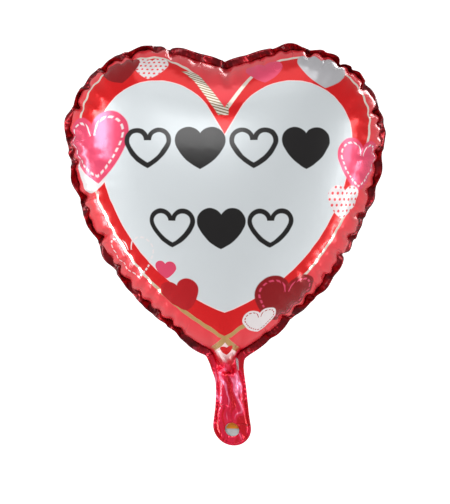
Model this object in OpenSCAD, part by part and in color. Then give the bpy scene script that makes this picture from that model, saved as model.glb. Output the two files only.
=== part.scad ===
// Heart-shaped foil balloon, inflated, with a flat filling tail and a self-closing film valve.
// Millimetres. +Z is up, the printed front faces -Y, and the origin is where a ribbon would be
// tied: the middle of the neck root, between the envelope and the tail.

/* [Envelope outline, front view] */
// half of the inflated width, measured to the weld line
half_width = 175; // [120:1:240]
// height of the widest points above the neck root
widest_height = 237; // [150:1:300]
// height of the tops of the two lobes above the neck root
lobe_top = 343; // [220:1:420]
// height of the notch between the lobes
notch_height = 327; // [200:1:400]
// radius of each lobe's round top
lobe_radius = 90; // [50:1:110]
// angle below the horizontal where the lobe's arc turns into the flank
shoulder_angle = 10; // [0:1:40]
// half of the width of the opening where the tail begins
neck_half_width = 17; // [12:1:25]
// height of the envelope's bottom edge above the hinge line of the tail
neck_edge = 2; // [1:0.5:4]

/* [Envelope section] */
// distance from the weld plane to the deepest point of each panel
half_depth = 102; // [60:1:140]
// bluntness of the section: 2 is an ellipse
section_power = 2.1; // [1.8:0.1:3]
// root taken of the section: 0.5 meets the weld at a right angle
section_root = 0.5; // [0.5:0.01:1]
// how much sharper the section gets at the notch and at the neck
narrowing = 0.14; // [0:0.01:0.3]
// thickness of the envelope's film stand-in
film = 0.4; // [0.3:0.1:1]

/* [Weld margin and creases] */
// width of the flat margin outside the weld line
margin = 8; // [5:0.5:14]
// how far the margin's edge is drawn in at each crease
scallop = 2; // [0:0.5:4]
// depth of the short creases that run inwards from the weld line
crease = 2.6; // [0:0.1:4]
// width of the weld that the panels stand on
weld_lap = 2; // [1:0.5:4]

/* [Tail] */
// length of the tail below the hinge line
tail_length = 98; // [60:1:140]
// radius of the tail's round end
tail_end_radius = 20.5; // [15:0.5:28]
// sideways lean of the tail, in degrees
tail_lean = 5; // [-10:0.5:10]
// distance between the two foils of the tail
foil_gap = 1.2; // [0.8:0.1:2]
// width of the weld round the tail's edge
tail_weld = 3; // [2:0.5:5]

/* [Filling hole and valve] */
// radius of the filling hole
hole_radius = 8; // [5:0.1:12]
// depth of the hole's centre below the hinge line
hole_drop = 79; // [50:1:110]
// half of the valve tube's width
valve_half_width = 11.5; // [8:0.5:14]
// thickness of one valve film
valve_film = 0.2; // [0.1:0.05:0.4]
// distance between the two valve films
valve_gap = 0.3; // [0.1:0.05:0.6]
// length of the valve's lips inside the envelope
lip_length = 58; // [30:1:90]
// height at which the lips are free to open
lip_start = 5; // [3:0.5:10]
// height of the release ink's lower edge above the hole's centre
ink_start = 1; // [-8:0.5:8]
// width of the seal that joins the valve to the foils
seal_width = 6; // [3:0.5:10]

/* [Part to build] */

/* [Hidden] */
// columns of facets along one half of the outline: notch line, lobe, flank and bottom edge
line_steps = 6;
lobe_steps = 18;
flank_steps = 22;
edge_steps = 2;
// sides of the tail's round end
end_steps = 36;
// a crease falls on every fourth column
crease_every = 4;
// relative sizes of the rings of facets, from the weld line to the middle of a panel
ring_count = 13;
RED = [0.80, 0.09, 0.14];
CORAL = [0.88, 0.27, 0.32];
PINK = [0.86, 0.16, 0.36];
CLEAR = [0.90, 0.93, 0.95, 0.55];
AMBER = [0.93, 0.55, 0.18];

// ---- outline of the envelope --------------------------------------------------------------
lobe_x = half_width - lobe_radius;
lobe_z = lobe_top - lobe_radius;
notch = [0, notch_height];

// angle at which a line from p touches a circle; side is -1 or 1, for either of the two lines
function touch(p, centre, r, side) =
    atan2(p[1] - centre[1], p[0] - centre[0]) + side * acos(r / norm(p - centre));
touch_angle = touch(notch, [lobe_x, lobe_z], lobe_radius, -1);

// the flank is one arc: it leaves the lobe smoothly and ends at the neck's corner
lobe_end = [lobe_x, lobe_z] + lobe_radius * [cos(shoulder_angle), -sin(shoulder_angle)];
neck_corner = [neck_half_width, neck_edge];
flank_chord = lobe_end - neck_corner;
flank_radius = flank_chord * flank_chord
    / (2 * flank_chord * [cos(shoulder_angle), -sin(shoulder_angle)]);
flank_centre = lobe_end - flank_radius * [cos(shoulder_angle), -sin(shoulder_angle)];
flank_end_angle = atan2(neck_corner[1] - flank_centre[1], neck_corner[0] - flank_centre[0]);

function between(a, b, i, n) = a + (b - a) * i / n;
function polar(centre, r, angle) = centre + r * [cos(angle), sin(angle)];
function mirrored(p) = [-p[0], p[1]];

touch_point = polar([lobe_x, lobe_z], lobe_radius, touch_angle);
right_half = concat(
    [for (i = [0:line_steps - 1]) between(notch, touch_point, i, line_steps)],
    [for (i = [0:lobe_steps - 1])
        polar([lobe_x, lobe_z], lobe_radius, between(touch_angle, -shoulder_angle, i, lobe_steps))],
    [for (i = [0:flank_steps - 1])
        polar(flank_centre, flank_radius,
            between(-shoulder_angle, flank_end_angle, i, flank_steps))],
    [for (i = [0:edge_steps]) between(neck_corner, [0, neck_edge], i, edge_steps)]);
half_count = len(right_half);
outline = concat(right_half, [for (i = [half_count - 2:-1:1]) mirrored(right_half[i])]);
columns = len(outline);

// unit normal of the outline at column i, pointing outwards
function tangent(i) =
    outline[(i + 1) % columns] - outline[(i + columns - 1) % columns];
function outward(i) = [-tangent(i)[1], tangent(i)[0]] / norm(tangent(i));

// creases: 1 at every fourth column, 0 between them, and none at the notch or the neck
function is_flank(i) = abs(outline[i][0]) > neck_half_width + 1;
function pleat(i) = (i % crease_every == 0 && is_flank(i)) ? 1 : 0;

// ---- section of a panel -------------------------------------------------------------------
middle = [0, widest_height - 10];

// the rings get closer together towards the weld line, where the film turns fastest
function ring_size(k) = cos(90 * pow(k / ring_count, 0.8));
function sharpness(i) =
    section_root + narrowing * pow(abs((outline[i] - middle)[1]) / norm(outline[i] - middle), 8);
function rise(i, size) = pow(1 - pow(size, section_power), sharpness(i));
function crease_fade(size) = pow(max(0, (size - 0.72) / 0.28), 2);

// one point of a panel's skin; inset is the distance inside the outer surface
function skin(i, size, inset) =
    let (drawn = outline[i] - (inset + crease * pleat(i) * crease_fade(size)) * outward(i))
    let (p = middle + size * (drawn - middle))
    let (depth = rise(i, size) * (1 - 0.05 * pleat(i) * crease_fade(size) * 4 * (1 - size)))
    [p[0], -weld_half - depth * (half_depth - weld_half - inset), p[1]];
weld_half = 0.5;

function layer(inset) = concat(
    [for (k = [0:ring_count - 1]) for (i = [0:columns - 1]) skin(i, ring_size(k), inset)],
    [[middle[0], -(half_depth - inset), middle[1]]]);

// triangles of one skin, seen from outside; base is the index of its first point
function skin_faces(base) = concat(
    [for (k = [0:ring_count - 2]) for (i = [0:columns - 1])
        for (half = [0, 1])
            let (j = (i + 1) % columns, a = base + k * columns)
            half == 0 ? [a + i, a + columns + i, a + j]
                      : [a + j, a + columns + i, a + columns + j]],
    [for (i = [0:columns - 1])
        let (a = base + (ring_count - 1) * columns)
        [a + i, base + ring_count * columns, a + (i + 1) % columns]]);

// strip of triangles that closes the wall along the weld line
function rim_faces(inner) = [for (i = [0:columns - 1]) for (half = [0, 1])
    let (j = (i + 1) % columns)
    half == 0 ? [i, j, inner + i] : [j, inner + j, inner + i]];

function flipped(faces) = [for (f = faces) [f[2], f[1], f[0]]];

module panel() {
    skin_points = ring_count * columns + 1;
    polyhedron(
        points = concat(layer(0), layer(film)),
        faces = concat(skin_faces(0), flipped(skin_faces(skin_points)), rim_faces(skin_points)),
        convexity = 6);
}

// extrudes a front-view shape, drawn in X and Z, from y = front to y = back
module plate(front, back) {
    translate([0, back, 0])
        rotate([90, 0, 0])
            linear_extrude(back - front)
                children();
}

// ---- envelope -----------------------------------------------------------------------------
module front_panel() {
    color(CORAL) panel();
}

module rear_panel() {
    color(RED) mirror([0, 1, 0]) panel();
}

// the two foils welded flat together round the envelope, open at the neck for the valve
module seam_margin() {
    edge = [for (i = [0:columns - 1])
        outline[i] + (is_flank(i) ? margin - scallop * pleat(i) : margin * 0.6) * outward(i)];
    inside = [for (i = [0:columns - 1])
        outline[i] - (weld_lap + crease * pleat(i)) * outward(i)];
    color(RED)
        plate(-weld_half, weld_half)
            difference() {
                polygon(edge);
                polygon(inside);
                translate([-neck_half_width - 4, -20])
                    square([2 * neck_half_width + 8, 20 + neck_edge + weld_lap + 1]);
            }
}

// ---- tail ---------------------------------------------------------------------------------
tail_top = -2;
foil_inner = foil_gap / 2;
foil_outer = foil_inner + film;

function tail_x(z) = -z * tan(tail_lean);

hole = [tail_x(-hole_drop), -hole_drop];
end_z = tail_end_radius - tail_length;
end_centre = [tail_x(end_z), end_z];

// the tail in front view, drawn in by inset all round except at the top edge
module tail_shape(inset = 0) {
    reach = tail_end_radius - inset;
    left = [tail_x(tail_top) - neck_half_width + inset, tail_top];
    right = [tail_x(tail_top) + neck_half_width - inset, tail_top];
    first = touch(right, end_centre, reach, -1);
    last = touch(left, end_centre, reach, 1) - 360;
    polygon(concat(
        [left, right],
        [for (i = [0:end_steps]) polar(end_centre, reach, between(first, last, i, end_steps))]));
}

module neck_front_film() {
    color(PINK)
        difference() {
            plate(-foil_outer, -foil_inner) tail_shape();
            translate([hole[0], -foil_inner + 1, hole[1]])
                rotate([90, 0, 0])
                    cylinder(r = hole_radius, h = film + 2, $fn = 96);
        }
}

module neck_rear_film() {
    color(PINK) plate(foil_inner, foil_outer) tail_shape();
}

module neck_side_weld() {
    color(RED)
        plate(-foil_inner, foil_inner)
            difference() {
                tail_shape();
                tail_shape(tail_weld);
                translate([-neck_half_width + tail_weld, tail_top - 1])
                    square([2 * (neck_half_width - tail_weld), 2]);
            }
}

// ---- valve --------------------------------------------------------------------------------
valve_inner = valve_gap / 2;
valve_outer = valve_inner + valve_film;
valve_bottom = -hole_drop - 10.3;

// a band of the valve between two heights, from x = left to x = right of its leaning axis
module valve_band(left, right, low, high) {
    polygon([
        [tail_x(low) + left, low], [tail_x(low) + right, low],
        [tail_x(high) + right, high], [tail_x(high) + left, high]]);
}

module valve_sheet() {
    valve_band(-valve_half_width, valve_half_width, valve_bottom, tail_top);
}

module valve_front_film() {
    color(CLEAR)
        difference() {
            plate(-valve_outer, -valve_inner) valve_sheet();
            translate([hole[0], -valve_inner + 1, hole[1]])
                rotate([90, 0, 0])
                    cylinder(r = hole_radius + 0.5, h = valve_film + 2, $fn = 96);
        }
}

module valve_rear_film() {
    color(CLEAR) plate(valve_inner, valve_outer) valve_sheet();
}

// the valve tube's two edges and its closed lower end
module valve_side_welds() {
    weld = 1.5;
    color(CLEAR)
        plate(-valve_inner, valve_inner)
            difference() {
                valve_sheet();
                valve_band(-valve_half_width + weld, valve_half_width - weld,
                    valve_bottom + weld, tail_top + 1);
            }
}

// the valve is sealed to both foils across the neck, so gas can pass only inside it
module valve_foil_seals() {
    high = tail_top - 4;
    color(CLEAR)
        for (side = [-1, 1])
            plate(side > 0 ? valve_outer : -foil_inner, side > 0 ? foil_inner : -valve_outer)
                valve_band(-valve_half_width, valve_half_width, high - seal_width, high);
}

// printed patch that keeps the two valve films from welding together above the hole
module release_ink() {
    color(AMBER)
        plate(valve_inner - 0.1, valve_inner)
            valve_band(-9, 9, -hole_drop + ink_start, -hole_drop + 22);
}

// one lip: the free end of a valve film, inside the envelope
module lip() {
    color(CLEAR)
        plate(valve_inner, valve_outer)
            translate([-valve_half_width, lip_start])
                square([2 * valve_half_width, lip_length]);
}

module valve_rear_lip() {
    lip();
}

module valve_front_lip() {
    mirror([0, 1, 0]) lip();
}

front_panel();
rear_panel();
seam_margin();
neck_front_film();
neck_rear_film();
neck_side_weld();
valve_front_film();
valve_rear_film();
valve_side_welds();
valve_foil_seals();
release_ink();
valve_front_lip();
valve_rear_lip();
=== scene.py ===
"""Heart-shaped foil balloon: its inflated, printed look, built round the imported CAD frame.

The two foils are cut flat, welded together at the rim and blown up by a membrane solver. It runs
twice: first with film that may shrink along its surface, as a finely wrinkled skin does, and then
with film that nearly keeps its length. The longer creases start from small dents at set places;
the shorter ones and the ruffled margin grow from seeded noise.
"""

import math

import bpy
import numpy as np
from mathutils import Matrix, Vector, geometry, kdtree


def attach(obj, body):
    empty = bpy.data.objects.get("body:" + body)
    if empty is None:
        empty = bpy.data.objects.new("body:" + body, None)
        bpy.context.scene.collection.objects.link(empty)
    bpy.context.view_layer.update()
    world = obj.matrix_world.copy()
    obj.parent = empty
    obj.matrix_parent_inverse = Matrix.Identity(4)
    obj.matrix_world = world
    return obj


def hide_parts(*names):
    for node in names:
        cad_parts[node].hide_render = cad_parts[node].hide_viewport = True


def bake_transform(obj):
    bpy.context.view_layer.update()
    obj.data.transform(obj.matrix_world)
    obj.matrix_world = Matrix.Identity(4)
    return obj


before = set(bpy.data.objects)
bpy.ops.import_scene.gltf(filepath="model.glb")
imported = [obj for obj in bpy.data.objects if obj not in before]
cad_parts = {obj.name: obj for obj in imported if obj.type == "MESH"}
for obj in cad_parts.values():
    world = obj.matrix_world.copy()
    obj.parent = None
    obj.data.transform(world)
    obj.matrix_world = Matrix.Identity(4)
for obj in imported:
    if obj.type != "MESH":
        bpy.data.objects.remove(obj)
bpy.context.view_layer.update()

# ---- driving dimensions, in metres ---------------------------------------------------------
# flat pattern, measured at the weld line
SEAM_WIDTH = 0.432
LOBE_RADIUS = 0.1457
LOBE_TOP = 0.4255
NOTCH_DEPTH = 0.0055
SHOULDER = math.radians(0.4)
NECK_TOP = 0.0192
NECK_END = 0.0200
FILLET = 0.018
TAIL = 0.086
# weld margin outside the weld line, round the heart and along the tail
MARGIN = 0.0095
TAIL_MARGIN = 0.0027
# filling hole: its place matches the CAD bore
HOLE_RADIUS = 0.008
HOLE = Vector((0.006912, 0, -0.079))
HOLE_ABOVE_END = 0.0163
TAIL_LEAN = math.radians(5)
# height of the fold across the middle of the tail
FOLD_AT = -0.047
# film thickness shown, and the least distance from the weld plane over the valve
FILM = 0.0002
VALVE_ROOM = 0.0009
VALVE_HALF_WIDTH = 0.0115

# ---- solver settings -----------------------------------------------------------------------
# spacing of points near the weld line and in the middle of a panel
FINE = 0.0036
COARSE = 0.009
FINE_RINGS = 11
# shortest length of a film edge, over its flat length, while wrinkles are too fine to be seen:
# a fitted value that other limits do nearly as well as, not a measured property of the film
SLACK = 0.8126
# the same for film that has to crease
CREASED = 0.955
# the same for the tail, which stays nearly flat
TAIL_LIMIT = 0.985
# share of the second run in which the limit rises from SLACK to CREASED
SETTING_SHARE = 0.7
# steps for one foil, and for both foils with their margin
FIRST_STEPS = 500
FULL_STEPS = 400
SEED = 11


def arc(centre, radius, start, end, count):
    turn = np.linspace(start, end, count)
    return np.c_[centre[0] + radius * np.cos(turn), centre[1] + radius * np.sin(turn)]


def flat_outline():
    """The weld line of the flat pattern, clockwise from the notch, and the height of the neck."""
    lobe = np.array([SEAM_WIDTH / 2 - LOBE_RADIUS, LOBE_TOP - LOBE_RADIUS])
    notch = np.array([0, LOBE_TOP - NOTCH_DEPTH])
    reach = notch - lobe
    start = math.atan2(reach[1], reach[0])
    start -= math.acos(min(1, LOBE_RADIUS / math.hypot(*reach)))
    out = np.array([math.cos(SHOULDER), -math.sin(SHOULDER)])
    shoulder = lobe + LOBE_RADIUS * out
    # one arc from the shoulder towards the heart's tip, and a fillet from it into the neck
    flank_radius = shoulder @ shoulder / (2 * shoulder @ out)
    flank = shoulder - flank_radius * out
    fillet_x = NECK_TOP + FILLET
    neck = flank[1] - math.sqrt((flank_radius + FILLET) ** 2 - (fillet_x - flank[0]) ** 2)
    turn = math.atan2(neck - flank[1], fillet_x - flank[0])
    end = neck - TAIL + NECK_END
    side = np.linspace((NECK_TOP, neck), (NECK_END, end), 60)
    half = np.vstack([
        notch[None],
        arc(lobe, LOBE_RADIUS, start, -SHOULDER, 200),
        arc(flank, flank_radius, -SHOULDER, turn, 300)[1:],
        arc((fillet_x, neck), FILLET, turn + math.pi, math.pi, 40)[1:],
        side[1:],
        arc((0, end), NECK_END, 0, -math.pi / 2, 30)[1:],
    ])
    return np.vstack([half, (half * [-1, 1])[-2:0:-1]]), neck


def resample(loop, spacing):
    """Points at an even spacing round a closed line."""
    closed = np.vstack([loop, loop[:1]])
    along = np.r_[0, np.cumsum(np.hypot(*np.diff(closed, axis=0).T))]
    at = np.linspace(0, along[-1], int(round(along[-1] / spacing)), endpoint=False)
    return np.c_[np.interp(at, along, closed[:, 0]), np.interp(at, along, closed[:, 1])]


def inside(points, loop):
    x, y = points.T
    found = np.zeros(len(points), bool)
    for (xa, ya), (xb, yb) in zip(loop, np.roll(loop, 1, 0)):
        if ya != yb:
            found ^= ((ya > y) != (yb > y)) & (x < (xb - xa) * (y - ya) / (yb - ya) + xa)
    return found


def search_tree(points):
    tree = kdtree.KDTree(len(points))
    for i, (x, z) in enumerate(points):
        tree.insert((x, z, 0), i)
    tree.balance()
    return tree


def gap(points, others):
    """Distance from each flat point to the nearest of the others."""
    tree = search_tree(others)
    return np.array([tree.find((x, z, 0))[2] for x, z in points])


def outward(loop):
    """Unit normals of a clockwise closed line, pointing out of it."""
    along = np.roll(loop, -1, 0) - np.roll(loop, 1, 0)
    return np.c_[-along[:, 1], along[:, 0]] / np.hypot(*along.T)[:, None]


def lattice(spacing, low, high):
    rows = []
    for i, z in enumerate(np.arange(low[1], high[1], spacing * math.sqrt(3) / 2)):
        x = np.arange(i % 2 * spacing / 2, high[0] + spacing, spacing)
        x = np.r_[-x[::-1], x[x > 0]]
        rows.append(np.c_[x, np.full(len(x), z)])
    return np.vstack(rows)


def flat_mesh():
    """Points and triangles of one flat foil. The weld line's points come first."""
    outline, neck = flat_outline()
    seam = resample(outline, FINE)
    count = len(seam)
    hole_at = np.array([0, outline[:, 1].min() + HOLE_ABOVE_END])
    hole = arc(hole_at, HOLE_RADIUS, 0, 2 * math.pi, 25)[:-1]
    dense = resample(outline, FINE / 8)
    away = outward(dense)
    points = np.vstack([seam, hole])
    for ring in range(1, FINE_RINGS + 1):
        depth = ring * FINE * 0.93
        line = dense - away * depth
        line = line[inside(line, outline)]
        line = line[gap(line, seam) > 0.965 * depth]
        kept = [line[0]]
        for p in line[1:]:
            if math.hypot(*(p - kept[-1])) >= 0.97 * FINE:
                kept.append(p)
        kept = np.array(kept)
        points = np.vstack([points, kept[gap(kept, points) > 0.6 * FINE]])
    low, high = seam.min(0), seam.max(0)
    for spacing, clear in ((COARSE, FINE_RINGS * FINE * 0.93), (FINE, 0)):
        more = lattice(spacing, low, high)
        more = more[inside(more, outline)]
        more = more[gap(more, seam) > clear]
        points = np.vstack([points, more[gap(more, points) > 0.73 * spacing]])
    loops = [(i, (i + 1) % count) for i in range(count)]
    loops += [(count + i, count + (i + 1) % len(hole)) for i in range(len(hole))]
    made = geometry.delaunay_2d_cdt([Vector(p) for p in points], loops, [], 1, 1e-7)
    points = np.array([tuple(p) for p in made[0]])
    tris = np.array([list(f) for f in made[2]])
    a, b, c = (points[tris[:, i]] for i in range(3))
    turned = np.cross(b - a, c - a) < 0
    tris[turned] = tris[turned][:, [0, 2, 1]]
    return points, tris, count, neck, hole_at


def sides(tris):
    return np.vstack([tris[:, [0, 1]], tris[:, [1, 2]], tris[:, [2, 0]]])


def edges_of(tris):
    return np.unique(np.sort(sides(tris), axis=1), axis=0)


def across_edges(tris):
    """The two far corners of every pair of triangles that share an edge."""
    key = np.sort(sides(tris), axis=1) @ [10**6, 1]
    far = tris[:, [2, 0, 1]].T.ravel()
    order = np.argsort(key, kind="stable")
    key, far = key[order], far[order]
    same = np.flatnonzero(key[1:] == key[:-1])
    return np.c_[far[same], far[same + 1]]


def in_groups(pairs, total, *facts):
    """Splits pairs into groups in which no point is used twice, so a group moves at once."""
    used = [0] * total
    group = np.zeros(len(pairs), int)
    for i, (a, b) in enumerate(pairs.tolist()):
        taken = used[a] | used[b]
        bit = 0
        while taken >> bit & 1:
            bit += 1
        group[i] = bit
        used[a] |= 1 << bit
        used[b] |= 1 << bit
    picks = [np.flatnonzero(group == g) for g in range(group.max() + 1)]
    return [(pairs[p, 0], pairs[p, 1], *(f[p] for f in facts)) for p in picks]


def face_sums(place, tris):
    """Area vectors of the triangles, a third to each corner."""
    a, b, c = (place[tris[:, i]] for i in range(3))
    face = np.cross(b - a, c - a) / 6
    total = np.empty_like(place)
    for axis in range(3):
        total[:, axis] = sum(
            np.bincount(tris[:, i], face[:, axis], len(place)) for i in range(3)
        )
    return total


def point_area(place, tris):
    a, b, c = (place[tris[:, i]] for i in range(3))
    face = np.linalg.norm(np.cross(b - a, c - a), axis=1) / 6
    return sum(np.bincount(tris[:, i], face, len(place)) for i in range(3))


def inflate(place, tris, film, area, push, flat_points, steps, pressure, fall, passes,
            shortest, bend=(), stiffness=0.0, keep=0.97, hold=0.3):
    """Blows a film up. Its edges can't stretch, and can shorten to shortest(progress)."""
    before = place.copy()
    for step in range(steps):
        progress = step / steps
        drive = pressure * 10 ** (-max(0, progress - hold) / (1 - hold) * fall)
        drift = (place - before) * keep
        before = place.copy()
        place = place + drift + drive * face_sums(place, tris) / area[:, None] * push[:, None]
        least = shortest(progress)
        for _ in range(passes):
            for a, b, flat in bend:
                d = place[b] - place[a]
                size = np.sqrt((d * d).sum(1)) + 1e-12
                fix = np.where(size < flat, 0.5 * stiffness * (size - flat) / size, 0)
                place[a] += fix[:, None] * d
                place[b] -= fix[:, None] * d
            for a, b, flat, limit in film:
                d = place[b] - place[a]
                size = np.sqrt((d * d).sum(1)) + 1e-12
                wanted = np.clip(size, np.maximum(limit, least) * flat, flat)
                fix = 0.5 * (size - wanted) / size
                place[a] += fix[:, None] * d
                place[b] -= fix[:, None] * d
            place[flat_points, 1] = 0
    return place


def ramp(value, low, high):
    """0 below low, 1 above high, and smooth between them."""
    t = np.clip((value - low) / (high - low), 0, 1)
    return t * t * (3 - 2 * t)


def lengths(place, pairs):
    return np.linalg.norm(place[pairs[:, 0]] - place[pairs[:, 1]], axis=1)


# ---- the two foils and their margin ---------------------------------------------------------
# places of the longer creases along the weld line, in metres from the notch, clockwise: a few at
# the notch, none over the lobes, and the rest spread evenly down each side
NOTCH_CREASES = np.linspace(-0.04, 0.03, 3)
SIDE_CREASES = np.linspace(0.19, 0.60, 8)
CREASES = np.concatenate([-SIDE_CREASES[::-1], NOTCH_CREASES, SIDE_CREASES])
# longest and shortest waves that the margin starts with, as counts round the weld line
WAVES = (40, 105)
# the body sits this far to the side of the neck
LEFTWARD = -0.0025
MARGIN_ROWS = 2
# dents that the longer creases start from
DENT_WIDTH = 0.004
DENT_DEPTH = 0.004
# heights of the first waves of the margin's edge and of the weld line, and of the film's noise
MARGIN_WAVE = 0.0015
SEAM_WAVE = 0.0005
FILM_NOISE = 0.0002


def soft_limits(flat, pairs, neck):
    """How far each edge may shorten: the body's film does, and the tail's hardly."""
    height = flat[pairs, 1].mean(1)
    return SLACK + (TAIL_LIMIT - SLACK) * (1 - ramp(height, neck - 0.010, neck + 0.020))


def gas_push(flat, neck):
    """Share of the pressure at each point: all of it in the body, and hardly any in the tail."""
    return 0.02 + 0.98 * ramp(flat[:, 1], neck - 0.05, neck)


def creasing(progress):
    """The least length of the film's edges during the second run."""
    return SLACK + (CREASED - SLACK) * min(1, progress / SETTING_SHARE)


def first_shape(flat, tris, seam, neck):
    """One foil blown up against a mirror plane at the weld line."""
    place = np.c_[flat[:, 0], np.full(len(flat), -0.001), flat[:, 1]]
    place[:seam, 1] = 0
    pairs = edges_of(tris)
    film = in_groups(pairs, len(flat), lengths(flat, pairs), soft_limits(flat, pairs, neck))
    area = point_area(np.c_[flat, 0 * flat[:, 0]], tris)
    steps = FIRST_STEPS
    return inflate(place, tris, film, area, gas_push(flat, neck), np.arange(seam), steps,
                   pressure=1e-4, fall=2.5, passes=4, shortest=lambda progress: 0)


def rim_noise(along, rng):
    """Waves of mixed lengths round the weld line, from -1 to 1."""
    low, high = WAVES
    wave = sum(rng.normal() * np.sin(2 * math.pi * (k * along + rng.random()))
               for k in range(low, high))
    return wave / np.abs(wave).max()


def straighten(place, now, was):
    """Takes out any turn or drift that the solver gave the shape, as seen from the front."""
    a, b = now - now.mean(0), was - was.mean(0)
    turn = math.atan2(np.sum(a[:, 0] * b[:, 1] - a[:, 1] * b[:, 0]), np.sum(a * b))
    x, z = (place[:, [0, 2]] - now.mean(0)).T
    fixed = place.copy()
    fixed[:, 0] = x * math.cos(turn) - z * math.sin(turn) + was.mean(0)[0] + LEFTWARD
    fixed[:, 2] = x * math.sin(turn) + z * math.cos(turn) + was.mean(0)[1]
    return fixed


def full_shape():
    """Both foils and the margin. Returns the flat points, their places and three triangle sets."""
    flat, tris, seam, neck, hole_at = flat_mesh()
    half = first_shape(flat, tris, seam, neck)
    count = len(flat)
    rng = np.random.default_rng(SEED)

    # the rear foil shares the weld line's points, and the margin is rows of points outside it
    rear_of = np.r_[np.arange(seam), np.arange(count, 2 * count - seam)]
    rear = rear_of[tris][:, [0, 2, 1]]
    line = flat[:seam]
    away = outward(line)
    away_now = outward(half[:seam][:, [0, 2]])
    in_tail = 1 - ramp(line[:, 1], neck - 0.018, neck + 0.012)
    width = MARGIN + (TAIL_MARGIN - MARGIN) * in_tail
    along = np.arange(seam) / seam
    total = FINE * seam
    wave = rim_noise(along, rng) * (1 - in_tail)
    dent = sum(np.exp(-(((along * total - at + total / 2) % total - total / 2) / DENT_WIDTH) ** 2)
               for at in CREASES)
    flats = [flat, flat[seam:]]
    places = [half, half[seam:] * [1, -1, 1]]
    outwards_now = np.c_[away_now[:, 0], 0 * along, away_now[:, 1]]
    start = half[:seam] - (dent * DENT_DEPTH)[:, None] * outwards_now
    margin = []
    base = 2 * count - seam
    inner = np.arange(seam)
    for row in range(1, MARGIN_ROWS + 1):
        out = width * row / MARGIN_ROWS
        flats.append(line + away * out[:, None])
        places.append(start + np.c_[away_now[:, 0] * out,
                                    wave * MARGIN_WAVE * row / MARGIN_ROWS,
                                    away_now[:, 1] * out])
        outer = base + np.arange(seam)
        base += seam
        margin.append(np.c_[inner, outer, np.roll(inner, -1)])
        margin.append(np.c_[np.roll(inner, -1), outer, np.roll(outer, -1)])
        inner = outer
    flat_all, place, margin = np.vstack(flats), np.vstack(places), np.vstack(margin)
    place[:seam] = start
    place[:seam, 1] += wave * SEAM_WAVE
    place[seam:2 * count - seam, 1] += rng.normal(size=2 * count - 2 * seam) * FILM_NOISE

    foils = np.vstack([tris, rear])
    pairs = np.unique(np.vstack([edges_of(tris), edges_of(rear), edges_of(margin)]), axis=0)
    film = in_groups(pairs, len(place), lengths(flat_all, pairs),
                     soft_limits(flat_all, pairs, neck))
    far = np.vstack([across_edges(tris), across_edges(rear), across_edges(margin)])
    bend = in_groups(far, len(place), lengths(flat_all, far))
    area = point_area(np.c_[flat_all, 0 * flat_all[:, 0]], np.vstack([foils, margin]))
    rim = np.r_[np.arange(seam), np.arange(2 * count - seam, len(place))]
    tail_rim = rim[flat_all[rim, 1] < neck - 0.02]
    place = inflate(place, foils, film, area, gas_push(flat_all, neck), tail_rim, FULL_STEPS,
                    pressure=4e-5, fall=1.0, passes=3, shortest=creasing,
                    bend=bend, stiffness=0.02, keep=0.9, hold=0.5)
    body = np.flatnonzero(line[:, 1] > neck + 0.02)
    place = straighten(place, place[body][:, [0, 2]], line[body])
    return flat_all, place, tris, rear, margin, seam, neck, hole_at


def settle_tail(flat, place, seam, count, neck, hole_at):
    """Puts the neck root at the origin, leans the tail and keeps room in it for the valve."""
    near = np.argsort(np.hypot(*(flat[:count] - hole_at).T))[:6]
    place = place + [0, 0, HOLE.z - place[near, 2].mean()]
    height = place[:, 2].copy()
    below = 1 - ramp(height, -0.030, 0.012)
    rim = np.flatnonzero((flat[:seam, 1] < neck - 0.010) & (flat[:seam, 1] > hole_at[1]))
    drift = np.polyfit(height[rim], place[rim, 0], 1)
    place[:, 0] -= (np.polyval(drift, height) + height * math.tan(TAIL_LEAN)) * below
    # over the valve the foils stay clear of its films
    centre = -height * math.tan(TAIL_LEAN)
    over = 1 - ramp(np.abs(place[:, 0] - centre), VALVE_HALF_WIDTH, VALVE_HALF_WIDTH + 0.003)
    over *= 1 - ramp(height, -0.004, 0.006)
    room = VALVE_ROOM * over
    front = np.arange(seam, count)
    back = np.arange(count, 2 * count - seam)
    place[front, 1] = np.minimum(place[front, 1], -room[front])
    place[back, 1] = np.maximum(place[back, 1], room[back])
    return place


def tail_folds(points, side):
    """Outward puffs and creases of the tail's film, in metres, for points at rest."""
    x, z = points[:, 0], points[:, 2]
    across = x + z * math.tan(TAIL_LEAN)
    long_fold = np.sin(across * 560 + 2.2 * np.sin(z * 75 + side) + side)
    fine_fold = np.sin(across * 1350 + 3.0 * np.sin(z * 110 - side))
    puff = 0.0010 * (1 + long_fold) + 0.0003 * (1 + fine_fold)
    bent = np.exp(-((z - FOLD_AT - 0.10 * across) / 0.0016) ** 2)
    puff = puff * (1 - 0.8 * bent) + 0.0004 * bent
    inside_rim = ramp(points[:, 6], 0.0010, 0.0050)
    hole = np.hypot(x - HOLE.x, z - HOLE.z)
    clear = ramp(hole, HOLE_RADIUS + 0.0005, HOLE_RADIUS + 0.006)
    return puff * inside_rim * (1 - ramp(z, -0.012, 0.006)) * clear


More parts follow.
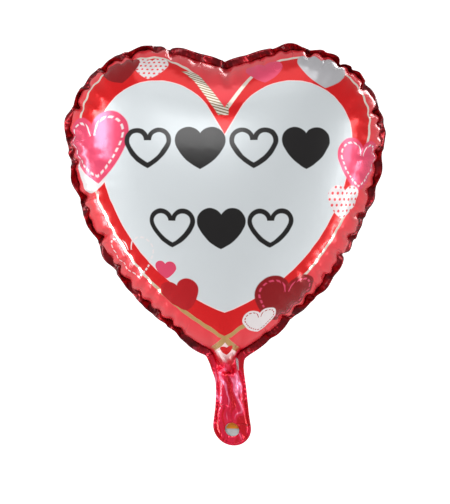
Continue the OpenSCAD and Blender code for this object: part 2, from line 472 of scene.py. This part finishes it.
def loop_subdivide(points, tris):
    """One step of Loop's scheme. Open borders become smooth curves of their own."""
    total = len(points)
    ends = np.sort(sides(tris), axis=1)
    far = tris[:, [2, 0, 1]].T.ravel()
    edges, which, uses = np.unique(ends, axis=0, return_inverse=True, return_counts=True)
    which = which.ravel()
    far_sum = np.stack([np.bincount(which, points[far, c], len(edges))
                        for c in range(points.shape[1])], 1)
    pair_sum = points[edges[:, 0]] + points[edges[:, 1]]
    border = uses == 1
    middle = np.where(border[:, None], pair_sum / 2, 0.375 * pair_sum + 0.125 * far_sum)

    def around(links):
        """For each point, the sum and the number of the points that these edges link it to."""
        a, b = np.r_[links[:, 0], links[:, 1]], np.r_[links[:, 1], links[:, 0]]
        found = np.stack([np.bincount(a, points[b, c], total)
                          for c in range(points.shape[1])], 1)
        return found, np.bincount(a, minlength=total)

    ring, ring_size = around(edges)
    beside, beside_size = around(edges[border])
    size = np.maximum(ring_size, 1)
    share = (0.625 - (0.375 + 0.25 * np.cos(2 * math.pi / size)) ** 2) / size
    moved = (1 - size * share)[:, None] * points + share[:, None] * ring
    on_border = beside_size > 0
    moved[on_border] = 0.75 * points[on_border] + 0.125 * beside[on_border]
    m = total + which.reshape(3, -1).T
    a, b, c = tris.T
    split = np.vstack([np.c_[a, m[:, 0], m[:, 2]], np.c_[b, m[:, 1], m[:, 0]],
                       np.c_[c, m[:, 2], m[:, 1]], m])
    return np.vstack([moved, middle]), split


def calm(points, tris, fixed, share, rounds=6):
    """Takes the solver's finest noise out: smooths, then swells back, where share isn't 0."""
    links = edges_of(tris)
    total = len(points)
    a, b = np.r_[links[:, 0], links[:, 1]], np.r_[links[:, 1], links[:, 0]]
    size = np.maximum(np.bincount(a, minlength=total), 1)[:, None]
    for step in range(2 * rounds):
        mean = np.stack([np.bincount(a, points[b, c], total) for c in range(3)], 1) / size
        move = (0.5, -0.52)[step % 2] * (mean - points[:, :3]) * share[:, None]
        move[fixed] = 0
        points[:, :3] += move
    return points


def only_used(tris):
    used = np.unique(tris)
    index = np.zeros(used.max() + 1, int)
    index[used] = np.arange(len(used))
    return used, index[tris]


def mesh_object(name, points, tris):
    """A smooth mesh from rows of x, y, z, flat x, flat z, distance along and in from the rim."""
    mesh = bpy.data.meshes.new(name)
    mesh.from_pydata(points[:, :3].tolist(), [], tris.tolist())
    mesh.update()
    mesh.polygons.foreach_set("use_smooth", np.ones(len(tris), bool))
    corners = tris.ravel()
    for label, pick in (("Flat", (3, 4)), ("Rim", (5, 6))):
        layer = mesh.uv_layers.new(name=label)
        layer.data.foreach_set("uv", points[corners][:, pick].astype(np.float32).ravel())
    piece = bpy.data.objects.new(name, mesh)
    bpy.context.scene.collection.objects.link(piece)
    return piece


def thicken(piece, thickness, offset):
    wall = piece.modifiers.new("Wall", "SOLIDIFY")
    wall.thickness = thickness
    wall.offset = offset
    wall.use_even_offset = False
    return piece


def build_foils():
    flat, place, tris, rear, margin, seam, neck, hole_at = full_shape()
    count = tris.max() + 1
    place = settle_tail(flat, place, seam, count, neck, hole_at)
    # distance along the weld line and in from it, in flat metres
    tree = search_tree(flat[:seam])
    rim = np.array([tree.find((x, z, 0))[1:] for x, z in flat])
    rows = np.c_[place, flat, rim[:, 0] * FINE, rim[:, 1]]
    in_hole = np.hypot(*(flat[tris].mean(1) - hole_at).T) < HOLE_RADIUS * 0.99
    made = {}
    sizes = {}
    sets = (("front_foil", tris[~in_hole]), ("rear_foil", rear), ("weld_margin", margin))
    for name, faces in sets:
        used, faces = only_used(faces)
        points = rows[used]
        if name != "weld_margin":
            edges, uses = np.unique(np.sort(sides(faces), axis=1), axis=0, return_counts=True)
            rim_points = np.unique(edges[uses == 1])
            depth = ramp(points[:, 6], 0.010, 0.050)
            points = calm(points, faces, rim_points, 0.5 + 0.5 * depth)
        points, faces = loop_subdivide(points, faces)
        side = {"front_foil": -1, "rear_foil": 1}.get(name, 0)
        points[:, 1] += side * tail_folds(points, side)
        made[name] = mesh_object(name, points, faces)
        flat_place = np.c_[points[:, 3], 0 * points[:, 3], points[:, 4]]
        sizes[name] = (*map(float, np.ptp(points[:, 3:5], axis=0)),
                       float(point_area(flat_place, faces).sum()))
    return made, sizes


foils, flat_sizes = build_foils()


# ---- the valve's films ----------------------------------------------------------------------
VALVE_FILM = 0.00005
VALVE_LEVEL = 0.00025
VALVE_LOW = -0.0893
VALVE_TOP = 0.002
LIP_LOW = 0.005
LIP_TOP = 0.063
VALVE_STEP = 0.0019
VALVE_RIPPLE = 0.00006


def film_strip(name, body, node, side, low, high, lean, hole=None):
    """One film of the valve: a thin strip with slight ripples, cut from flat tube."""
    corner = 0.003
    half = VALVE_HALF_WIDTH
    outline = np.vstack([
        arc((half - corner, high - corner), corner, math.pi / 2, 0, 8),
        arc((half - corner, low + corner), corner, 0, -math.pi / 2, 8),
        arc((corner - half, low + corner), corner, -math.pi / 2, -math.pi, 8),
        arc((corner - half, high - corner), corner, math.pi, math.pi / 2, 8),
    ])
    rim = resample(outline, VALVE_STEP)
    count = len(rim)
    across = lattice(VALVE_STEP, (-half, low), (half, high))
    across = across[inside(across, outline)]
    across = across[gap(across, rim) > 0.6 * VALVE_STEP]
    loops = [(i, (i + 1) % count) for i in range(count)]
    points = rim
    if hole:
        circle = arc((0, hole), HOLE_RADIUS + 0.0004, 0, 2 * math.pi, 41)[:-1]
        loops += [(count + i, count + (i + 1) % len(circle)) for i in range(len(circle))]
        points = np.vstack([rim, circle])
        across = across[gap(across, circle) > 0.6 * VALVE_STEP]
    points = np.vstack([points, across])
    made = geometry.delaunay_2d_cdt([Vector(p) for p in points], loops, [], 1, 1e-7)
    flat = np.array([tuple(p) for p in made[0]])
    tris = np.array([list(f) for f in made[2]])
    if hole:
        centre = flat[tris].mean(1) - (0, hole)
        tris = tris[np.hypot(*centre.T) > HOLE_RADIUS]
    ripple = np.sin(flat[:, 0] * 900 + flat[:, 1] * 140) * np.sin(flat[:, 1] * 310 + side)
    place = np.c_[
        flat[:, 0] - flat[:, 1] * math.tan(lean),
        side * (VALVE_LEVEL + VALVE_RIPPLE * ripple),
        flat[:, 1],
    ]
    used, tris = only_used(tris)
    rows = np.c_[place, flat, flat[:, 1], half - np.abs(flat[:, 0])][used]
    piece = thicken(mesh_object(name, rows, tris), VALVE_FILM, 0)
    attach(piece, body)
    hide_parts(node)
    return piece


strips = [
    film_strip("valve_front_sheet", "tail", "valve_front_film", -1,
               VALVE_LOW, VALVE_TOP, TAIL_LEAN, HOLE.z),
    film_strip("valve_rear_sheet", "tail", "valve_rear_film", 1,
               VALVE_LOW, VALVE_TOP, TAIL_LEAN),
    film_strip("front_lip_sheet", "front_lip", "valve_front_lip", -1, LIP_LOW, LIP_TOP, 0),
    film_strip("rear_lip_sheet", "rear_lip", "valve_rear_lip", 1, LIP_LOW, LIP_TOP, 0),
]


# ---- shader arithmetic ----------------------------------------------------------------------
class Num:
    """A number in a material, so that a pattern reads as ordinary arithmetic."""

    def __init__(self, tree, socket):
        self.tree = tree
        self.socket = socket

    def calc(self, kind, *values):
        node = self.tree.nodes.new("ShaderNodeMath")
        node.operation = kind
        feed(self.tree, node, values)
        return Num(self.tree, node.outputs[0])

    def __add__(self, other):
        return self.calc("ADD", self, other)

    def __sub__(self, other):
        return self.calc("SUBTRACT", self, other)

    def __rsub__(self, other):
        return self.calc("SUBTRACT", other, self)

    def __mul__(self, other):
        return self.calc("MULTIPLY", self, other)

    def __truediv__(self, other):
        return self.calc("DIVIDE", self, other)

    def __abs__(self):
        return self.calc("ABSOLUTE", self)

    def least(self, other):
        return self.calc("MINIMUM", self, other)

    def most(self, other):
        return self.calc("MAXIMUM", self, other)

    def sine(self):
        return self.calc("SINE", self)

    def part(self):
        """The fraction above the whole number below it."""
        return self.calc("FRACT", self)

    def above(self, other):
        return self.calc("GREATER_THAN", self, other)

    def limited(self):
        """Held between 0 and 1."""
        return self.least(1).most(0)

    def ramped(self, low, high):
        """0 at low and 1 at high, whichever is the greater."""
        return ((self - low) * (1 / (high - low))).limited()


def feed(tree, node, values):
    """Links numbers and sockets to a node's inputs, or sets them."""
    for socket, value in zip(node.inputs, values):
        if isinstance(value, Num):
            tree.links.new(value.socket, socket)
        elif isinstance(value, bpy.types.NodeSocket):
            tree.links.new(value, socket)
        else:
            socket.default_value = value


def vector(tree, *values):
    node = tree.nodes.new("ShaderNodeCombineXYZ")
    feed(tree, node, values)
    return node.outputs[0]


def split(tree, socket):
    node = tree.nodes.new("ShaderNodeSeparateXYZ")
    tree.links.new(socket, node.inputs[0])
    return Num(tree, node.outputs[0]), Num(tree, node.outputs[1])


def distance(tree, socket, to):
    node = tree.nodes.new("ShaderNodeVectorMath")
    node.operation = "DISTANCE"
    tree.links.new(socket, node.inputs[0])
    node.inputs[1].default_value = (*to, 0)
    return Num(tree, node.outputs["Value"])


def noise(tree, where, scale, detail=2.0, rough=0.5):
    """Noise from about 0 to 1."""
    node = tree.nodes.new("ShaderNodeTexNoise")
    node.inputs["Scale"].default_value = scale
    node.inputs["Detail"].default_value = detail
    node.inputs["Roughness"].default_value = rough
    tree.links.new(where, node.inputs["Vector"])
    return Num(tree, node.outputs["Fac"])


def uv(tree, name):
    node = tree.nodes.new("ShaderNodeUVMap")
    node.uv_map = name
    return node.outputs[0]


def covers(away, soft):
    """1 inside a shape and 0 outside it, from the distance outside its edge."""
    return (0.5 - away * (1 / soft)).limited()


def heart(tree, x, z, lobe, radius, shoulder, tip, notch=None):
    """Distance outside a heart's edge: a round lobe, then one arc down to the tip.

    A lobe that stops short of the middle is joined to the notch by its tangent.
    """
    out = Vector((math.cos(shoulder), -math.sin(shoulder)))
    turn_at = Vector(lobe) + radius * out
    reach = turn_at - Vector((0, tip))
    flank_radius = reach.dot(reach) / (2 * reach.dot(out))
    flank = turn_at - flank_radius * out
    x = abs(x)
    at = vector(tree, x, z, 0)
    below = ((x - lobe[0]) * out.y - (z - lobe[1]) * out.x).above(0) * (lobe[1] - z).above(0)
    top = distance(tree, at, lobe) - radius
    if notch is not None:
        start = Vector((0, notch))
        away = Vector(lobe) - start
        turn = math.atan2(away.y, away.x) + math.asin(radius / away.length)
        along = Vector((math.cos(turn), math.sin(turn)))
        reach = math.sqrt(away.length_squared - radius ** 2)
        on_line = (x * along.x + (z - notch) * along.y - reach).above(0)
        line = (z - notch) * along.x - x * along.y
        top = top * on_line + line * (1 - on_line)
    side = distance(tree, at, flank) - flank_radius
    return side * below + top * (1 - below)


# a small heart one unit in half width
SMALL_LOBE = (0.46, 0)
SMALL_RADIUS = 0.54
SMALL_SHOULDER = math.radians(25)
SMALL_TIP = -1.15
# its stitches: how far they lie inside the edge, and half of their width and of a dash's share
STITCH_INSET = 0.15
STITCH_HALF_WIDTH = 0.028
DASH_HALF_SHARE = 0.32


def heart_group():
    """A node group: a heart one unit in half width, and a row of stitches inside its edge."""
    tree = bpy.data.node_groups.new("Small heart", "ShaderNodeTree")
    face = tree.interface
    face.new_socket("Point", in_out="INPUT", socket_type="NodeSocketVector")
    face.new_socket("Stitches", in_out="INPUT", socket_type="NodeSocketFloat")
    face.new_socket("Outside", in_out="OUTPUT", socket_type="NodeSocketFloat")
    face.new_socket("Stitch", in_out="OUTPUT", socket_type="NodeSocketFloat")
    given = tree.nodes.new("NodeGroupInput")
    x, z = split(tree, given.outputs[0])
    away = heart(tree, x, z, SMALL_LOBE, SMALL_RADIUS, SMALL_SHOULDER, SMALL_TIP)
    around = x.calc("ARCTAN2", abs(x), z + 0.15)
    dash = (around * Num(tree, given.outputs[1])).part()
    stitch = covers(abs(away + STITCH_INSET) - STITCH_HALF_WIDTH, 0.03)
    stitch = stitch * covers(abs(dash - 0.5) - DASH_HALF_SHARE, 0.1)
    result = tree.nodes.new("NodeGroupOutput")
    feed(tree, result, (away, stitch))
    return tree


class Layers:
    """Colour, metal share and roughness of a print, built up ink by ink."""

    def __init__(self, tree, ink):
        self.tree = tree
        self.colour, self.metal, self.rough = ink

    def lay(self, mask, ink):
        colour, metal, rough = ink
        mix = self.tree.nodes.new("ShaderNodeMix")
        mix.data_type = "RGBA"
        self.tree.links.new(mask.socket, mix.inputs["Factor"])
        for socket, value in zip((mix.inputs[6], mix.inputs[7]), (self.colour, colour)):
            if isinstance(value, bpy.types.NodeSocket):
                self.tree.links.new(value, socket)
            else:
                socket.default_value = value
        self.colour = mix.outputs[2]
        self.metal = self.between(mask, self.metal, metal)
        self.rough = self.between(mask, self.rough, rough)

    @staticmethod
    def between(mask, low, high):
        if isinstance(low, Num):
            return low + mask * (high - low)
        return mask * (high - low) + low


def srgb(red, green, blue):
    """A linear colour from the usual 0 to 255 numbers."""
    values = [c / 255 for c in (red, green, blue)]
    return (*(c / 12.92 if c <= 0.04045 else ((c + 0.055) / 1.055) ** 2.4 for c in values), 1)


# inks, and colours of painted shade, highlight and reflection: colour, metal share and roughness
CORAL = (srgb(240, 62, 72), 0.32, 0.24)
RED = (srgb(224, 12, 18), 0.35, 0.22)
PEARL = (srgb(208, 215, 218), 0.18, 0.40)
BARE = (srgb(252, 240, 226), 0.50, 0.14)
EDGE = (srgb(248, 214, 214), 0.20, 0.30)
# painted warm reflection on the lower part of the bare line
GOLD_REFLECTION = (srgb(222, 178, 112), 0.60, 0.18)
# dark bands of a painted striped reflection on the line's widened left arm
STRIPED_REFLECTION_DARK = (srgb(150, 130, 84), 0.80, 0.20)
PINK = (srgb(236, 74, 112), 0.40, 0.26)
WHITE = (srgb(224, 219, 220), 0.20, 0.30)
SILVER = (srgb(206, 206, 210), 0.50, 0.26)
DEEP_RED = (srgb(150, 8, 18), 0.40, 0.22)
MID_RED = (srgb(196, 14, 26), 0.40, 0.24)
BLACK = (srgb(16, 14, 15), 0.05, 0.30)
TAIL_RED = (srgb(238, 30, 70), 0.45, 0.16)
# painted shade in the tail's furrows, and painted highlight on its ridges
TAIL_FURROW_SHADE = (srgb(214, 12, 34), 0.45, 0.14)
TAIL_RIDGE_HIGHLIGHT = (srgb(255, 122, 160), 0.40, 0.16)
# height of the crumpled tail's folds, in metres
TAIL_CRUMPLE = 0.0034
# flat height where the crumpling starts, on the foils and on the margin, and how fast it fades
TAIL_START = 0.030
EDGE_TAIL_START = 0.012
TAIL_FADE = 0.014
# fine relief: reach of the gathers in from the weld, step of the comb, and depths in metres
GATHER_REACH = 0.030
COMB_STEP = 0.0052
GATHER_HEIGHT = 0.0014
SKIN_HEIGHT = 0.000012
PLEAT_DEPTH = 0.0009

# heart-shaped outlines of the print, in the flat pattern: lobe centre, radius, shoulder, tip
# and notch
PANEL = ((0.0773, 0.2817), 0.0681, 0.045, 0.0880, 0.2835)
LINE = ((0.0935, 0.3076), 0.0812, 0.100, 0.0530, 0.3120)
LINE_WIDTH = 0.0042
# where the line's arms cross, to the side, and how fast they part below that
CROSSING = 0.001
ARM_SLOPE = 0.70
PRINT_SHIFT = -0.001
# width over which a printed edge fades
PRINT_SOFT = 0.0006
# below this height the line is a little wider and carries a painted gold reflection
GOLD_REFLECTION_TOP = 0.125
# widening of the line's left arm, with a painted striped reflection: half width, and its top,
# bottom, left and right
WEDGE_HALF_WIDTH = 0.0052
WEDGE_TOP = 0.368
WEDGE_LOW = 0.304
WEDGE_LEFT = 0.055
WEDGE_RIGHT = 0.004

# small printed hearts: place in the flat pattern, half width, lean (degrees), ink, stitches
SMALL_HEARTS = (
    (-0.090, 0.376, 0.0205, 1, WHITE, "dots"),
    (-0.128, 0.375, 0.0240, -16, DEEP_RED, None),
    (0.047, 0.375, 0.0220, 2, PINK, None),
    (0.118, 0.377, 0.0310, 6, SILVER, None),
    (-0.163, 0.250, 0.0292, 20, WHITE, None),
    (-0.155, 0.287, 0.0480, -5, PINK, WHITE),
    (0.162, 0.264, 0.0360, 2, PINK, WHITE),
    (0.139, 0.217, 0.0235, 1, WHITE, "dots"),
    (-0.113, 0.154, 0.0369, -9, None, WHITE),
    (-0.068, 0.138, 0.0125, 0, PINK, None),
    (-0.054, 0.110, 0.0240, -17, MID_RED, None),
    (0.073, 0.105, 0.0400, 6, DEEP_RED, PINK),
    (0.042, 0.075, 0.0215, -3, WHITE, MID_RED),
    (0.002, 0.037, 0.0080, 0, RED, None),
)

# black marks in two rows: height, half width and places across, outlined and solid in turn
MARK_ROWS = (
    (0.279, 0.0275, (-0.0855, -0.0275, 0.0305, 0.0885)),
    (0.191, 0.0265, (-0.0588, -0.0048, 0.0492)),
)


def new_material(name):
    material = bpy.data.materials.new(name)
    material.use_nodes = True
    tree = material.node_tree
    return material, tree, tree.nodes["Principled BSDF"]


def add_bump(tree, shader, height, strength=1.0):
    """height is in metres."""
    bump = tree.nodes.new("ShaderNodeBump")
    bump.inputs["Strength"].default_value = strength
    bump.inputs["Distance"].default_value = 1.0
    tree.links.new(height.socket, bump.inputs["Height"])
    tree.links.new(bump.outputs[0], shader.inputs["Normal"])


def foil_relief(tree, ripple):
    """Height of creases too fine for the mesh, in metres: strongest beside the weld."""
    along, depth = split(tree, uv(tree, "Rim"))
    near = depth.ramped(GATHER_REACH, 0.0)
    folds = noise(tree, vector(tree, along * 95, depth * 22, 0), 1.0, 3.0)
    patches = noise(tree, vector(tree, along * 14, 0, 0), 1.0, 0.0).ramped(0.46, 0.62)
    comb = (along * (2 * math.pi / COMB_STEP) + folds * 9).sine() * patches
    skin = noise(tree, uv(tree, "Flat"), 260.0, 2.0)
    # pleats that run straight in from the weld, at nearly even steps
    wander = noise(tree, vector(tree, along * 9, 0, 0), 1.0, 1.0)
    pleat = abs((along * 19 + wander * 1.6).part() - 0.5).ramped(0.030, 0.0)
    reach = depth.ramped(0.055, 0.010)
    return (folds * near * GATHER_HEIGHT + comb * near * ripple + skin * SKIN_HEIGHT
            - pleat * reach * PLEAT_DEPTH)


def tail_crumple(tree, x, z, start=TAIL_START):
    """Folds along the tail, from about 0 to 1, and a mask that is 1 below start."""
    bend = noise(tree, vector(tree, x * 30, z * 30, 0), 1.0, 1.0)
    folds = noise(tree, vector(tree, x * 90 + bend * 4, z * 15, 0), 1.0, 3.0, 0.40)
    return folds, z.ramped(start, start - TAIL_FADE)


def lay_tail_shade_and_highlights(art, folds, in_tail):
    """Painted shade in the furrows and painted highlights on the ridges of the crumpled tail."""
    art.lay(in_tail * folds.ramped(0.50, 0.46), TAIL_FURROW_SHADE)
    art.lay(in_tail * folds.ramped(0.61, 0.65), TAIL_RIDGE_HIGHLIGHT)


def printed_film(heart_tree):
    """Front film: translucent inks over bare metallised film."""
    material, tree, shader = new_material("Printed film")
    flat = uv(tree, "Flat")
    x, z = split(tree, flat)
    x = x - PRINT_SHIFT
    art = Layers(tree, CORAL)

    line = heart(tree, x, z, *LINE)
    art.lay(covers(line, PRINT_SOFT), RED)
    # the line's two arms cross at the bottom, and the film between them is bare
    low = (LINE[3] - z).above(0)
    spread = abs(x - CROSSING) - (LINE[3] - z) * ARM_SLOPE
    art.lay(covers(spread, PRINT_SOFT) * low, EDGE)
    edge = abs(line) * (1 - low) + abs(spread) * low * 0.8
    width = z.ramped(GOLD_REFLECTION_TOP, 0.070) * 0.0010 + LINE_WIDTH / 2
    bare = covers(edge - width, PRINT_SOFT)
    art.lay(bare, BARE)
    # painted gold reflection on the bare line towards the bottom
    art.lay(bare * z.ramped(GOLD_REFLECTION_TOP, 0.095), GOLD_REFLECTION)

    panel = heart(tree, x, z, *PANEL)
    # the line's left arm widens above the notch, with the painted stripes of a reflection
    wedge = abs(line + 0.003) - WEDGE_HALF_WIDTH
    wedge = wedge.most(z - WEDGE_TOP).most(WEDGE_LOW - z)
    wedge = wedge.most(x - WEDGE_RIGHT).most(x * -1 - WEDGE_LEFT)
    reflection_stripes = covers(abs((z * 290 + x * 90).part() - 0.5) - 0.30, 0.2)
    art.lay(covers(wedge, 0.001), STRIPED_REFLECTION_DARK)
    art.lay(covers(wedge, 0.001) * reflection_stripes, BARE)

    art.lay(covers(panel - 0.0009, PRINT_SOFT), EDGE)
    art.lay(covers(panel, PRINT_SOFT), PEARL)

    def small(at_x, at_z, size, lean, stitches=4.3):
        place = tree.nodes.new("ShaderNodeMapping")
        place.vector_type = "TEXTURE"
        place.inputs["Location"].default_value = (at_x, at_z, 0)
        place.inputs["Rotation"].default_value = (0, 0, -math.radians(lean))
        place.inputs["Scale"].default_value = (size, size, 1)
        tree.links.new(flat, place.inputs["Vector"])
        node = tree.nodes.new("ShaderNodeGroup")
        node.node_tree = heart_tree
        tree.links.new(place.outputs[0], node.inputs[0])
        node.inputs[1].default_value = stitches
        return Num(tree, node.outputs[0]), Num(tree, node.outputs[1]), place.outputs[0]

    for at_x, at_z, size, lean, ink, trim in SMALL_HEARTS:
        away, stitch, point = small(at_x, at_z, size, lean)
        if trim == "dots":
            across, up = split(tree, point)
            row = up * 3.4
            offset = (row * 0.5).part().above(0.5) * 0.5
            dot = vector(tree, (across * 3.4 + offset).part() - 0.5, row.part() - 0.5, 0)
            art.lay(covers(away, 0.04), ink)
            art.lay(covers(away, 0.04) * covers(distance(tree, dot, (0, 0)) - 0.24, 0.1), CORAL)
            continue
        if ink:
            art.lay(covers(away, 0.03), ink)
        if trim:
            art.lay(stitch, trim)

    for height, size, places in MARK_ROWS:
        for i, across in enumerate(places):
            away = small(across, height, size, 0)[0]
            if i % 2 == 0:
                away = abs(away + 0.13) - 0.10
            art.lay(covers(away, 0.03), BLACK)

    # below the neck the film is plain metallic colour
    art.lay(z.ramped(0.022, 0.014), TAIL_RED)
    folds, in_tail = tail_crumple(tree, x, z)
    # painted shade and painted highlights along the tail's folds
    lay_tail_shade_and_highlights(art, folds, in_tail)

    tree.links.new(art.colour, shader.inputs["Base Color"])
    tree.links.new(art.metal.socket, shader.inputs["Metallic"])
    haze = noise(tree, flat, 38.0, 3.0)
    tree.links.new((art.rough + (haze - 0.5) * 0.10).socket, shader.inputs["Roughness"])
    shader.inputs["Coat Weight"].default_value = 0.22
    shader.inputs["Coat Roughness"].default_value = 0.14
    add_bump(tree, shader, foil_relief(tree, 0.00012) + folds * in_tail * TAIL_CRUMPLE)
    return material


def plain_film(name, light, dark, roughness, ripple, tail_start=TAIL_START):
    """Metallised film in one translucent ink, uneven where it is gathered."""
    material, tree, shader = new_material(name)
    flat = uv(tree, "Flat")
    x, z = split(tree, flat)
    along, depth = split(tree, uv(tree, "Rim"))
    gathers = noise(tree, vector(tree, along * 60, depth * 40, 0), 1.0, 3.0)
    clouds = noise(tree, flat, 14.0, 2.0)
    at_rim = depth.ramped(0.050, 0.005)
    tone = gathers * at_rim + clouds * (1 - at_rim)
    tint = Layers(tree, (dark, 0.8, roughness + 0.08))
    tint.lay(tone.ramped(0.30, 0.62), (light, 0.8, roughness))
    folds, in_tail = tail_crumple(tree, x, z, tail_start)
    tint.lay(in_tail, TAIL_RED)
    # painted shade and painted highlights along the tail's folds
    lay_tail_shade_and_highlights(tint, folds, in_tail)
    tree.links.new(tint.colour, shader.inputs["Base Color"])
    tree.links.new(tint.metal.socket, shader.inputs["Metallic"])
    tree.links.new(tint.rough.socket, shader.inputs["Roughness"])
    shader.inputs["Coat Weight"].default_value = 0.3
    shader.inputs["Coat Roughness"].default_value = 0.1
    add_bump(tree, shader, foil_relief(tree, ripple) + folds * in_tail * TAIL_CRUMPLE)
    return material


def inner_film():
    """The inner side of a foil: bare metal under a milky sealing layer."""
    material, tree, shader = new_material("Inner film")
    cloud = noise(tree, uv(tree, "Flat"), 90.0, 3.0)
    tint = Layers(tree, (srgb(226, 224, 220), 0.55, 0.34))
    tint.lay(cloud.ramped(0.35, 0.70), (srgb(244, 243, 240), 0.40, 0.26))
    tree.links.new(tint.colour, shader.inputs["Base Color"])
    tree.links.new(tint.metal.socket, shader.inputs["Metallic"])
    tree.links.new(tint.rough.socket, shader.inputs["Roughness"])
    add_bump(tree, shader, cloud * 0.0002)
    return material


def clear_film(name, colour, opacity):
    """Thin plastic: mostly seen through, with fine draw lines and haze."""
    material, tree, shader = new_material(name)
    where = tree.nodes.new("ShaderNodeTexCoord").outputs["Object"]
    lines = noise(tree, where, 620.0, 2.0)
    haze = noise(tree, where, 130.0, 3.0)
    tint = Layers(tree, (colour, 0.0, 0.16))
    tint.lay(haze.ramped(0.35, 0.75), (tuple(0.86 * c for c in colour[:3]) + (1,), 0.0, 0.34))
    tree.links.new(tint.colour, shader.inputs["Base Color"])
    tree.links.new(tint.rough.socket, shader.inputs["Roughness"])
    tree.links.new((haze * 0.2 + opacity).socket, shader.inputs["Alpha"])
    add_bump(tree, shader, lines * 0.00003)
    return material


heart_tree = heart_group()
printed = printed_film(heart_tree)
red_foil = plain_film("Red foil", srgb(200, 16, 34), srgb(150, 4, 18), 0.20, 0.0002)
edge_foil = plain_film("Edge foil", srgb(156, 8, 26), srgb(84, 0, 12), 0.28, 0.0004,
                       EDGE_TAIL_START)
lining = inner_film()
clear = clear_film("Clear film", srgb(236, 240, 242), 0.30)
amber = clear_film("Amber ink", srgb(250, 150, 36), 0.80)

for name, material, slot, nodes in (
    ("front_foil", printed, "printed_film", ("front_panel", "neck_front_film")),
    ("rear_foil", red_foil, "red_foil", ("rear_panel", "neck_rear_film")),
    ("weld_margin", edge_foil, "pink_foil", ("seam_margin", "neck_side_weld")),
):
    piece = foils[name]
    piece.data.materials.append(material)
    wall = thicken(piece, FILM, 0).modifiers["Wall"]
    if name != "weld_margin":
        piece.data.materials.append(lining)
        wall.material_offset = 1
    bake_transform(piece)
    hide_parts(*nodes)

for strip in strips:
    strip.data.materials.append(clear)
for node, material in (
    ("valve_side_welds", clear), ("valve_foil_seals", clear), ("release_ink", amber),
):
    for slot in bpy.data.objects[node].material_slots:
        slot.material = material


# ---- camera, light and background -----------------------------------------------------------
# width of the weld plane that fills the view
VIEW_WIDTH = 0.5054
VIEW_CENTRE = Vector((-0.0031, 0, 0.1203))
VIEW_DISTANCE = 4.0
SENSOR = 0.036
PAPER = (0.90, 0.89, 0.89, 1)
PAPER_GLOW = (1, 0.985, 0.985, 1)
ROOM = (0.80, 0.78, 0.78, 1)
ROOM_LIGHT = 0.42


def aim(thing, at):
    thing.rotation_euler = (Vector(at) - thing.location).to_track_quat("-Z", "Y").to_euler()


def softbox(name, place, at, width, height, power):
    light = bpy.data.lights.new(name, "AREA")
    light.shape = "RECTANGLE"
    light.size = width
    light.size_y = height
    light.energy = power
    lamp = bpy.data.objects.new(name, light)
    lamp.location = place
    bpy.context.scene.collection.objects.link(lamp)
    aim(lamp, at)


def stage(name, points, faces, glow):
    """Pale, matt surroundings. Film mirrors the dim room and the softboxes, not these."""
    mesh = bpy.data.meshes.new(name)
    mesh.from_pydata(points, [], faces)
    paper = bpy.data.objects.new(name, mesh)
    bpy.context.scene.collection.objects.link(paper)
    material, _, shader = new_material(name)
    shader.inputs["Base Color"].default_value = PAPER
    shader.inputs["Roughness"].default_value = 0.9
    shader.inputs["Emission Color"].default_value = PAPER_GLOW
    shader.inputs["Emission Strength"].default_value = glow
    mesh.materials.append(material)
    paper.visible_glossy = False
    return paper


def surroundings(floor_at, floor_radius, radius, bands=12, around=48):
    """A round pale floor, and a white dome that stands behind every view."""
    turns = np.linspace(0, 2 * math.pi, around, endpoint=False)
    disc = [(floor_radius * math.cos(a), floor_radius * math.sin(a), floor_at) for a in turns]
    stage("floor", disc, [tuple(range(around))], 0.45)
    points = [
        (radius * math.cos(a) * math.cos(e), radius * math.sin(a) * math.cos(e),
         radius * math.sin(e))
        for e in np.linspace(-math.pi / 2, math.pi / 2, bands + 1) for a in turns
    ]
    faces = [
        (i * around + k, i * around + (k + 1) % around,
         (i + 1) * around + (k + 1) % around, (i + 1) * around + k)
        for i in range(bands) for k in range(around)
    ]
    dome = stage("dome", points, faces, 1.0)
    dome.visible_diffuse = False
    dome.visible_shadow = False


camera = bpy.data.objects.new("camera", bpy.data.cameras.new("camera"))
bpy.context.scene.collection.objects.link(camera)
bpy.context.scene.camera = camera
camera.data.sensor_fit = "HORIZONTAL"
camera.data.sensor_width = SENSOR * 1000
camera.data.lens = SENSOR * 1000 * VIEW_DISTANCE / VIEW_WIDTH
camera.location = VIEW_CENTRE + Vector((0, -VIEW_DISTANCE, 0))
aim(camera, VIEW_CENTRE)

surroundings(floor_at=-0.75, floor_radius=3.0, radius=9.0)
HEART = (0, 0, 0.19)
softbox("front", (-0.6, -3.0, 1.9), HEART, 2.2, 1.4, 42)
softbox("key", (-1.7, -0.45, 0.75), HEART, 0.5, 0.9, 16)
softbox("right", (1.7, -0.5, 0.35), HEART, 0.4, 1.1, 7)
softbox("top", (0, -0.3, 1.6), HEART, 1.4, 0.8, 3.5)
softbox("low_left", (-1.4, 0.50, -0.34), HEART, 0.12, 1.2, 7)
softbox("low_right", (1.4, 0.15, -0.36), HEART, 0.10, 1.0, 5)
softbox("back", (0.8, 2.2, 1.0), HEART, 1.2, 1.2, 20)

world = bpy.data.worlds.new("Room")
bpy.context.scene.world = world
world.use_nodes = True
world.node_tree.nodes["Background"].inputs["Color"].default_value = ROOM
world.node_tree.nodes["Background"].inputs["Strength"].default_value = ROOM_LIGHT
bpy.context.scene.view_settings.view_transform = "Standard"
